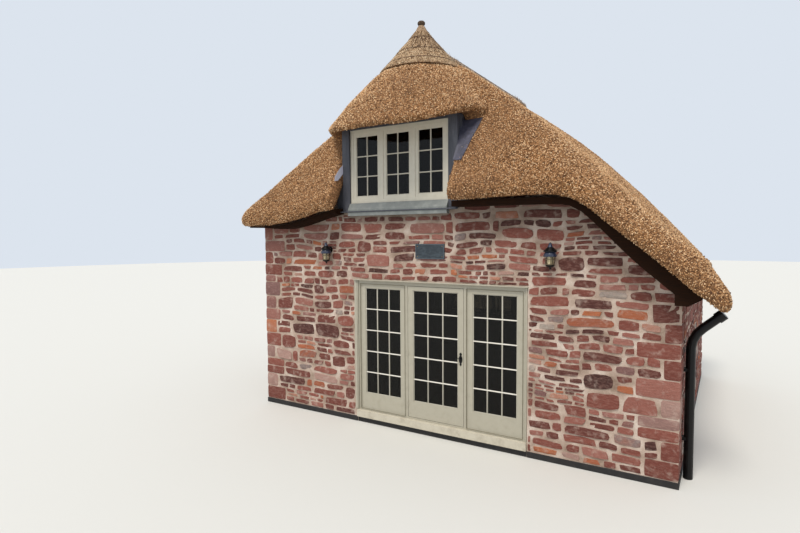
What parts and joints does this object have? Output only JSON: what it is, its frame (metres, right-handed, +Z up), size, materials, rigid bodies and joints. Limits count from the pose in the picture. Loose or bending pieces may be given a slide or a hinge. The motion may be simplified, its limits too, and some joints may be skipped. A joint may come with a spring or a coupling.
{
  "type": "thatched cottage",
  "caption": "Small rubble-stone cottage with a hipped thatched roof, a dormer under a pointed hood of thatch and a glazed garden door that opens.",
  "frame": {"origin": "centre of the four outer wall faces in plan, on the underside of the ground floor, which is level with the paving outside", "axes": "+X right along the front wall as seen from the garden, +Y into the building from the front, +Z up"},
  "size_m": [7.4506, 7.1, 6.43],
  "materials": {
    "stone": "rough rubble masonry in wide lime mortar joints",
    "floor": "smooth cast floor",
    "thatch": "cut water reed, butts outward",
    "ridge": "ridge of laid straw with block pattern",
    "paint": "cream painted timber",
    "floorboards": "bare boards",
    "dark_board": "dark stained timber",
    "lead": "dull sheet lead",
    "black_metal": "black paint",
    "glass": "clear",
    "slate": "dark riven slate"
  },
  "bodies": {
    "cottage": {"ground_floor": "floor", "upper_floor": "floorboards", "front_wall_left": "stone", "front_wall_right": "stone", "front_wall_head": "stone", "left_wall": "stone", "right_wall": "stone", "back_wall": "stone", "door_step": "stone", "thatch_roof": "thatch", "ridge_cap": "ridge", "peak_cap": "ridge", "eave_board_front_left": "dark_board", "eave_board_front_right": "dark_board", "eave_board_back": "dark_board", "eave_board_left": "dark_board", "eave_board_right": "dark_board", "door_frame": "paint", "door_sill": "paint", "threshold_board": "floorboards", "side_light_left": "paint", "side_light_glass_left": "glass", "side_light_right": "paint", "side_light_glass_right": "glass", "dormer_cheek_left": "lead", "dormer_cheek_right": "lead", "dormer_sill": "lead", "dormer_head": "dark_board", "dormer_frame": "paint", "dormer_casement_left": "paint", "dormer_glass_left": "glass", "dormer_casement_middle": "paint", "dormer_glass_middle": "glass", "dormer_casement_right": "paint", "dormer_glass_right": "glass", "back_window_frame_left": "paint", "back_window_glass_left": "glass", "back_window_frame_right": "paint", "back_window_glass_right": "glass", "name_plate": "slate", "rain_pipe": "black_metal", "lantern_left": "black_metal", "lantern_glass_left": "glass", "lantern_right": "black_metal", "lantern_glass_right": "glass"},
    "door": {"door_leaf": "paint", "door_glass": "glass", "door_handle_outside": "black_metal", "door_handle_inside": "black_metal"}
  },
  "joints": [
    {"name": "door_hinge", "type": "hinge", "parent": "cottage", "child": "door", "pos_m": [-0.362, -2.995, 0.2], "axis": [0, 0, -1], "range_deg": [0, 90]}
  ]
}
